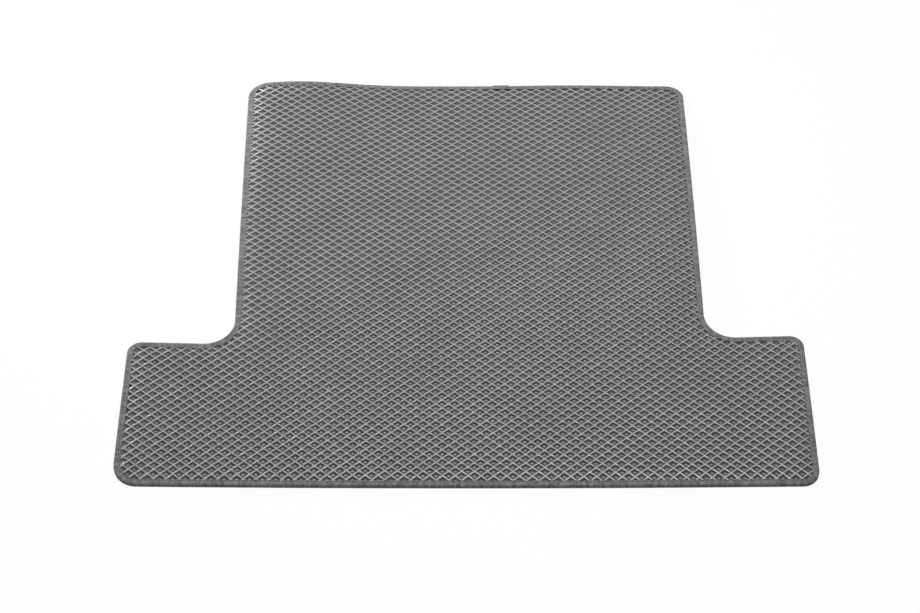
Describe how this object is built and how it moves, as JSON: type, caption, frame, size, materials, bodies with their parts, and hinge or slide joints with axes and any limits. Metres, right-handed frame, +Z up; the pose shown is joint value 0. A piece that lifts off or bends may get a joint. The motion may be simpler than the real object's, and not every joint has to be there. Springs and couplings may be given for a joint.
{
  "type": "car boot liner",
  "caption": "T-shaped boot floor mat of grey moulded foam with staggered diamond pits and a woven tape sewn round its edge.",
  "frame": {"origin": "under the middle of the mat's box, at the level that its edges lie on", "axes": "+Z up, +X to the right across the width, +Y back from the wide tailgate edge along the neck"},
  "size_m": [1.3222, 1.0836, 0.0387],
  "materials": {
    "eva_foam": "fine matt foam skin",
    "binding_tape": "woven tape",
    "sewing_thread": "twisted thread"
  },
  "bodies": {
    "root": {"eva_sheet": "eva_foam", "edge_binding": "binding_tape", "needle_thread": "sewing_thread", "bobbin_thread": "sewing_thread"}
  },
  "joints": []
}
